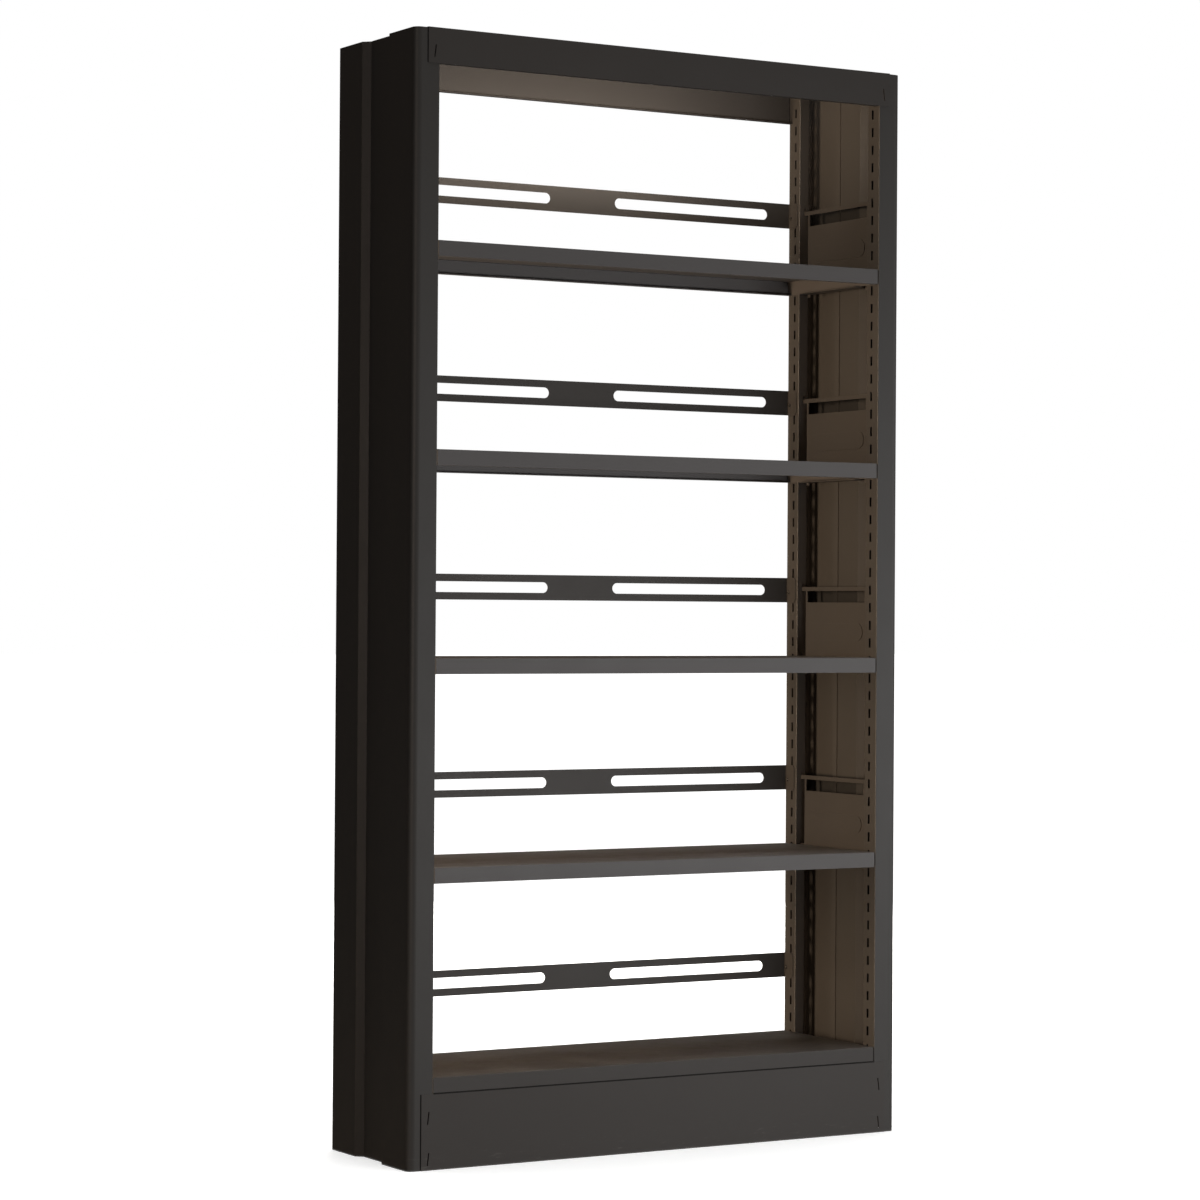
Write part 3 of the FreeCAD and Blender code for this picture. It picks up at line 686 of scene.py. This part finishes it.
class BOOKCASE_OT_studio(bpy.types.Operator):
    """Build the pale floor, the soft lights, the even fill and the camera"""
    bl_idname = "bookcase.studio"
    bl_label = "Studio"

    def execute(self, context):
        scene = context.scene
        studio = scene.bookcase_studio
        self.ground(studio)
        self.lights(studio)
        self.fill(scene, studio)
        self.camera(scene, studio)
        scene.view_settings.view_transform = "Standard"
        return {"FINISHED"}

    def level_sheet(self, name, level, finish):
        """A level square sheet: the points of an even grid in X and Y at one height."""
        marks = np.linspace(-FLOOR_REACH, FLOOR_REACH, FLOOR_STEPS + 1)
        x, y = np.meshgrid(marks, marks, indexing="ij")
        points = np.stack([x, y, np.full_like(x, level)], axis=-1).reshape(-1, 3)
        corner = np.arange(x.size).reshape(x.shape)
        faces = np.stack([corner[:-1, :-1], corner[1:, :-1], corner[1:, 1:], corner[:-1, 1:]],
                         axis=-1).reshape(-1, 4).tolist()
        made = mesh_object(name, points, faces, finish)
        return made

    def ground(self, studio):
        """A pale floor for the camera, and just above it a dark mat that neither the camera
        nor a shadow sees, so that little light comes back at the object from below."""
        paint = Paint("pale_floor")
        mottle = paint.noise(paint.place(), *FLOOR_MOTTLE)
        tone = paint.blend(mottle, rgba(studio.floor_tone, FLOOR_DARKER), rgba(studio.floor_tone))
        finish = paint.finish({"Base Color": tone, "Roughness": 0.85,
                               "Emission Color": rgba(WHITE),
                               "Emission Strength": studio.floor_glow})
        self.level_sheet("studio_floor", 0.0, finish)
        finish = Paint("dark_mat").finish({"Base Color": rgba(MAT_COLOUR), "Roughness": 1.0,
                                           "Emission Color": rgba(MAT_GLOW_COLOUR),
                                           "Emission Strength": studio.mat_glow})
        mat = self.level_sheet("studio_mat", MAT_LEVEL, finish)
        mat.visible_camera = False
        mat.visible_shadow = False

    def aim(self, name, data, place, target):
        """Link a light at a place, turned to a target."""
        made = bpy.data.objects.new(name, data)
        way = Vector(target) - Vector(place)
        made.matrix_world = (Matrix.Translation(Vector(place))
                             @ way.to_track_quat("-Z", "Y").to_matrix().to_4x4())
        made.visible_camera = False
        bpy.context.scene.collection.objects.link(made)
        return made

    def link(self, light, kind, pieces, state):
        """Include only these pieces in what a light reaches or is blocked by, or exclude them."""
        group = bpy.data.collections.new(light.name + "_" + kind)
        setattr(light.light_linking, kind, group)
        for piece in pieces:
            group.objects.link(piece)
        for member in group.collection_objects:
            member.light_linking.link_state = state

    def lights(self, studio):
        """A wide light above and the soft lights. The side light passes through the left
        side, and the channel light meets one column alone."""
        top = bpy.data.lights.new("top_light", "SUN")
        top.energy = studio.top_power
        top.angle = math.radians(TOP_ANGLE)
        self.aim("top_light", top, TOP_PLACE, (0.0, 0.0, 0.0))
        made = {}
        for name, (place, target, size, colour) in SOFT_LIGHTS.items():
            data = bpy.data.lights.new(name + "_light", "AREA")
            data.shape = "RECTANGLE"
            data.size, data.size_y = size
            data.energy = getattr(studio, name + "_power")
            data.color = colour
            made[name] = self.aim(name + "_light", data, place, target)
        for name in UNMIRRORED:
            made[name].visible_glossy = False
        for name in ONLY_MIRRORED:
            made[name].visible_diffuse = False
        nodes = frame["nodes"]
        floor = bpy.data.objects["studio_floor"]
        left_side = [nodes[name] for name in nodes if name.startswith("left")]
        plates = [nodes[name] for name in PLATES]
        self.link(made["side"], "receiver_collection", left_side + plates + [floor], "EXCLUDE")
        self.link(made["side"], "blocker_collection", left_side + [floor], "EXCLUDE")
        self.link(made["channel"], "receiver_collection", [nodes["right_rear_column"]], "INCLUDE")

    def fill(self, scene, studio):
        """An even warm light from all sides, where the camera itself sees plain white."""
        world = bpy.data.worlds.new("studio_fill")
        world.use_nodes = True
        nodes = world.node_tree.nodes
        links = world.node_tree.links
        nodes.clear()
        rays = nodes.new("ShaderNodeLightPath")
        mix = nodes.new("ShaderNodeMixShader")
        output = nodes.new("ShaderNodeOutputWorld")
        links.new(rays.outputs["Is Camera Ray"], mix.inputs["Fac"])
        for socket, colour, strength in ((1, FILL_COLOUR, studio.sky), (2, WHITE, 1.0)):
            light = nodes.new("ShaderNodeBackground")
            light.inputs["Color"].default_value = rgba(colour)
            light.inputs["Strength"].default_value = strength
            links.new(light.outputs[0], mix.inputs[socket])
        links.new(mix.outputs[0], output.inputs["Surface"])
        scene.world = world

    def camera(self, scene, studio):
        """The photograph's viewpoint: from front left, just above the middle shelf's height."""
        data = bpy.data.cameras.new("photo_camera")
        data.sensor_fit = "HORIZONTAL"
        data.sensor_width = SENSOR_WIDTH
        data.lens = studio.lens
        data.shift_x, data.shift_y = CAMERA_SHIFT
        data.clip_end = CLIP_END
        yaw, pitch, roll = (math.radians(turn) for turn in CAMERA_TURN)
        ahead = Vector((math.sin(yaw) * math.cos(pitch), math.cos(yaw) * math.cos(pitch),
                        math.sin(pitch)))
        side = Vector((math.cos(yaw), -math.sin(yaw), 0.0))
        over = side.cross(ahead)
        right = side * math.cos(roll) + over * math.sin(roll)
        up = right.cross(ahead)
        turn = Matrix((right, up, -ahead)).transposed().to_4x4()
        made = bpy.data.objects.new("photo_camera", data)
        made.matrix_world = Matrix.Translation(Vector(CAMERA_PLACE)) @ turn
        scene.collection.objects.link(made)
        scene.camera = made


class BOOKCASE_PT_panel(bpy.types.Panel):
    """Sidebar panel with the bookcase's settings and steps"""
    bl_idname = "BOOKCASE_PT_panel"
    bl_label = "Steel Bookcase"
    bl_space_type = "VIEW_3D"
    bl_region_type = "UI"
    bl_category = "Bookcase"

    def draw(self, context):
        layout = self.layout
        for group in (context.scene.bookcase_coat, context.scene.bookcase_screws,
                      context.scene.bookcase_studio):
            box = layout.box()
            for name in group.bl_rna.properties.keys():
                if name not in ("rna_type", "name"):
                    box.prop(group, name)
        for operator in OPERATORS:
            layout.operator(operator.bl_idname)


OPERATORS = (
    BOOKCASE_OT_coat_frame,
    BOOKCASE_OT_coat_plates,
    BOOKCASE_OT_coat_shelves,
    BOOKCASE_OT_coat_fittings,
    BOOKCASE_OT_stop_bar_screws,
    BOOKCASE_OT_studio,
)
CLASSES = (CoatSettings, ScrewSettings, StudioSettings) + OPERATORS + (BOOKCASE_PT_panel,)


def register():
    for item in CLASSES:
        bpy.utils.register_class(item)
    bpy.types.Scene.bookcase_coat = PointerProperty(type=CoatSettings)
    bpy.types.Scene.bookcase_screws = PointerProperty(type=ScrewSettings)
    bpy.types.Scene.bookcase_studio = PointerProperty(type=StudioSettings)


def unregister():
    del bpy.types.Scene.bookcase_studio
    del bpy.types.Scene.bookcase_screws
    del bpy.types.Scene.bookcase_coat
    for item in reversed(CLASSES):
        bpy.utils.unregister_class(item)


def main():
    register()
    bpy.ops.bookcase.coat_frame()
    bpy.ops.bookcase.coat_plates()
    bpy.ops.bookcase.coat_shelves()
    bpy.ops.bookcase.coat_fittings()
    bpy.ops.bookcase.stop_bar_screws()
    bpy.ops.bookcase.studio()


if __name__ == "__main__":
    main()
